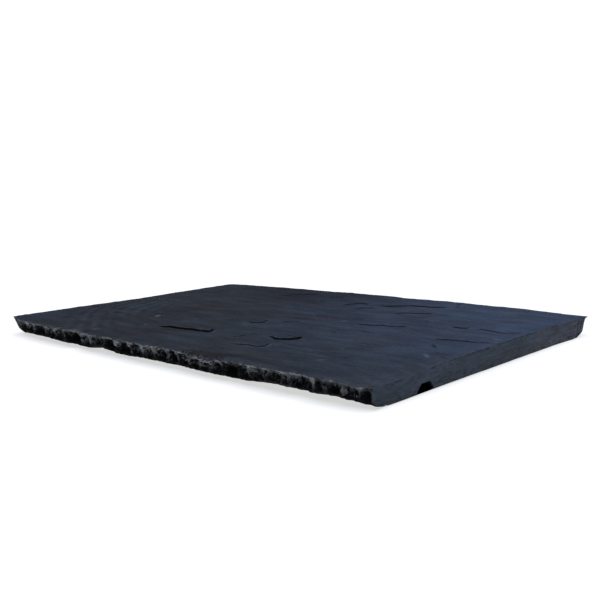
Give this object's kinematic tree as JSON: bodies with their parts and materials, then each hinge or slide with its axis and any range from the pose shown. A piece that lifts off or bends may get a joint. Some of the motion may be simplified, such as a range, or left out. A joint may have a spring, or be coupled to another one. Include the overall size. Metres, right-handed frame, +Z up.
{
  "type": "slate slab",
  "caption": "Rectangular riven slate slab with hand-dressed, undercut edges on three sides and one sawn side, lying flat on its bed face.",
  "frame": {"origin": "middle of the footprint at the level of the bed face the slab rests on", "axes": "+X along the slab's length towards the sawn side, +Y across its width, +Z up out of the riven top"},
  "size_m": [0.604, 0.406, 0.0242],
  "materials": {
    "slate": "riven, matt to faintly satin"
  },
  "bodies": {
    "root": {"slate_slab": "slate"}
  },
  "joints": []
}
